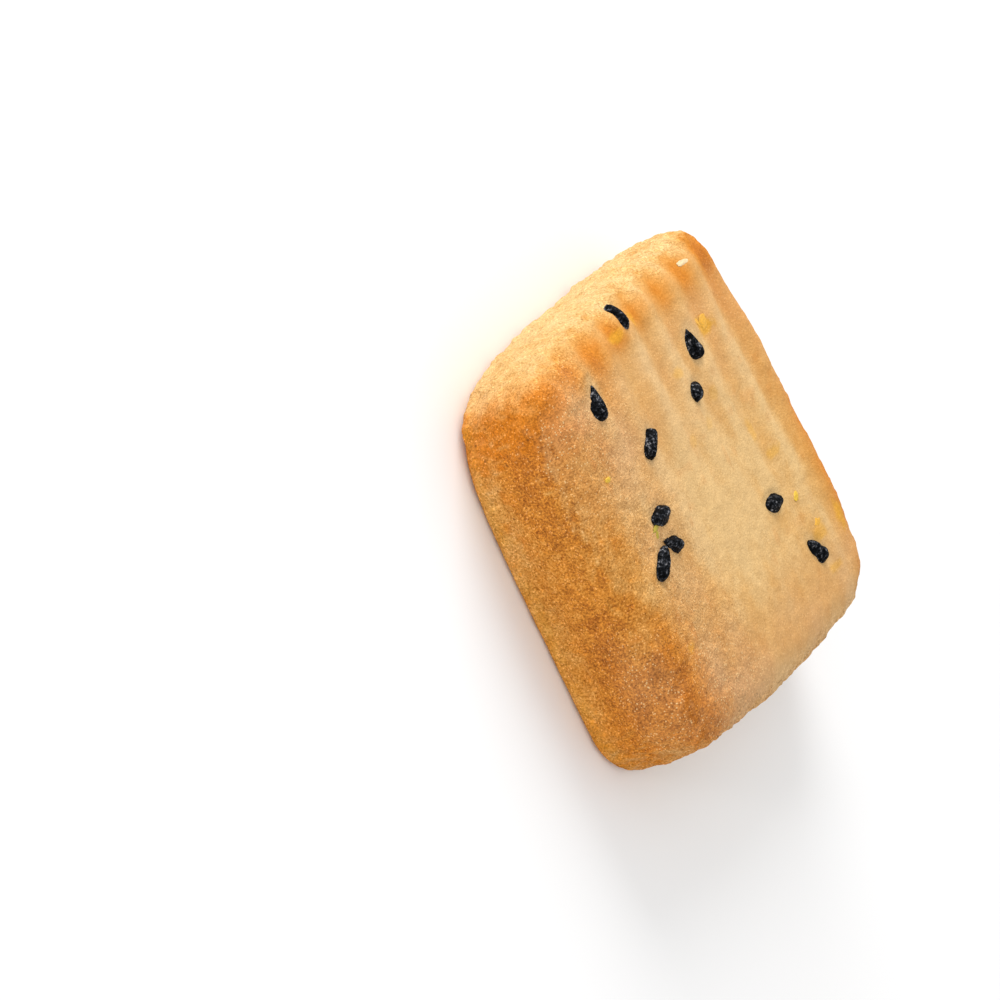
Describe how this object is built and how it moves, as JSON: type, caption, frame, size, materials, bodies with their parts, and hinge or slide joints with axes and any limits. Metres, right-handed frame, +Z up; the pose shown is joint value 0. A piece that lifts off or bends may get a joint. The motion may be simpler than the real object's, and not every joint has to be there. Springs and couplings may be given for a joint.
{
  "type": "nigella seed biscuit",
  "caption": "Thick square shortbread biscuit with softly rounded edges and black nigella seeds baked into its face, for stacking, plating or food scenes.",
  "frame": {"origin": "centre of the outline at the underside, on the surface that the biscuit lies on", "axes": "+Z up out of the seeded face, +X and +Y along the two pairs of sides of the square"},
  "size_m": [0.041, 0.0388, 0.0116],
  "materials": {
    "biscuit": "matt golden baked crust with a fine sandy crumb; the seeds are blue-black and matt"
  },
  "bodies": {
    "root": {"biscuit": "biscuit"}
  },
  "joints": []
}
